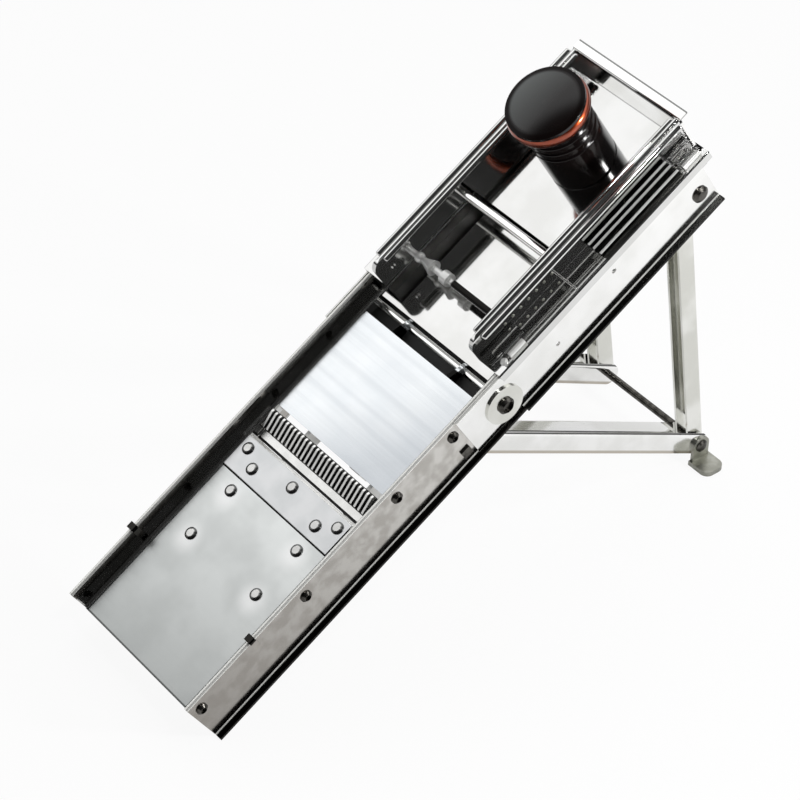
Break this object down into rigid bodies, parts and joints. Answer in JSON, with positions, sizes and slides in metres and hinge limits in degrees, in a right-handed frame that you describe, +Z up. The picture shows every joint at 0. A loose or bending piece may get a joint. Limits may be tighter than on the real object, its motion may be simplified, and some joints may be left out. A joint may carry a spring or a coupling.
{
  "type": "mandoline slicer",
  "caption": "Stainless mandoline slicer: sloping railed deck with blade and comb, sliding food carriage with a black knob handle, folding leg stand.",
  "frame": {"origin": "middle of the footprint, on the table", "axes": "+X uphill along the deck, +Y across to the far side, +Z up"},
  "size_m": [0.3732, 0.124, 0.2746],
  "materials": {
    "polished_steel": "polished",
    "satin_steel": "satin",
    "blade_steel": "ground",
    "handle_plastic": "glossy",
    "black_nylon": "moulded"
  },
  "bodies": {
    "deck": {"blade": "blade_steel", "blade_bed": "black_nylon", "blade_clamp_strip": "satin_steel", "blade_rivets": "polished_steel", "cam_brackets": "satin_steel", "far_guide_channel": "polished_steel", "far_lower_rail": "polished_steel", "far_upper_rail": "polished_steel", "feed_hinge_rod": "polished_steel", "hinge_bed": "black_nylon", "hinge_nuts": "polished_steel", "landing_braces": "satin_steel", "landing_plate": "satin_steel", "landing_rivets": "polished_steel", "leg_pivot_bolts": "polished_steel", "leg_spacers": "satin_steel", "near_guide_channel": "polished_steel", "near_lower_rail": "polished_steel", "near_upper_rail": "polished_steel", "pivot_discs": "polished_steel", "rail_fillers": "satin_steel", "rail_screws": "polished_steel", "seat_strips": "polished_steel", "stop_clips": "polished_steel", "strut_catch_pins": "polished_steel", "upper_plate": "polished_steel"},
    "carriage": {"carriage_cross_bar": "polished_steel", "carriage_end_wall": "polished_steel", "carriage_runners": "satin_steel", "carriage_spindle": "polished_steel", "corner_rivets": "polished_steel", "far_carriage_side": "polished_steel", "guide_bars": "polished_steel", "guide_shoes": "polished_steel", "handle_body": "handle_plastic", "handle_head": "handle_plastic", "handle_plate": "polished_steel", "handle_screw": "polished_steel", "near_carriage_side": "polished_steel", "shoe_screws": "polished_steel", "wall_rivets": "polished_steel", "wear_strips": "polished_steel"},
    "feed_cam": {"feed_cam_shaft": "satin_steel", "feed_lever": "satin_steel", "feed_lever_grip": "handle_plastic"},
    "feed_plate": {"feed_plate": "polished_steel"},
    "comb_cam": {"comb_cam_shaft": "satin_steel", "comb_lever": "satin_steel", "comb_lever_grip": "handle_plastic"},
    "comb": {"comb_carrier": "black_nylon", "comb_front_strip": "polished_steel", "comb_teeth": "blade_steel"},
    "leg": {"far_leg": "polished_steel", "knee_rod": "polished_steel", "near_leg": "polished_steel"},
    "strut": {"far_strut": "polished_steel", "foot_tabs": "polished_steel", "near_strut": "polished_steel"}
  },
  "joints": [
    {"name": "carriage_slide", "type": "slide", "parent": "deck", "child": "carriage", "axis": [-0.8551, 0, -0.5185], "range_m": [0, 0.1845]},
    {"name": "feed_cam_turn", "type": "hinge", "parent": "deck", "child": "feed_cam", "pos_m": [-0.03024, 0, 0.09205], "axis": [0, -1, 0], "range_deg": [0, 90]},
    {"name": "feed_plate_tilt", "type": "hinge", "parent": "deck", "child": "feed_plate", "pos_m": [0.01895, 0, 0.13205], "axis": [0, -1, 0], "range_deg": [0, 3.2]},
    {"name": "comb_cam_turn", "type": "hinge", "parent": "deck", "child": "comb_cam", "pos_m": [-0.05333, 0, 0.07805], "axis": [0, 1, 0], "range_deg": [0, 90]},
    {"name": "comb_drop", "type": "slide", "parent": "deck", "child": "comb", "axis": [0.5185, 0, -0.8551], "range_m": [0, 0.0044]},
    {"name": "leg_fold", "type": "hinge", "parent": "deck", "child": "leg", "pos_m": [0.14971, 0, 0.20994], "axis": [0, 1, 0], "range_deg": [0, 57]},
    {"name": "strut_swing", "type": "hinge", "parent": "leg", "child": "strut", "pos_m": [0.17905, 0, 0.012], "axis": [0, 1, 0], "range_deg": [-112.3, 0]}
  ],
  "couplings": [
    {"joint": "feed_plate_tilt", "follows": "feed_cam_turn", "ratio": 0.035556},
    {"joint": "comb_drop", "follows": "comb_cam_turn", "m_per_rad": 0.0028011},
    {"joint": "strut_swing", "follows": "leg_fold", "ratio": -1.97}
  ]
}
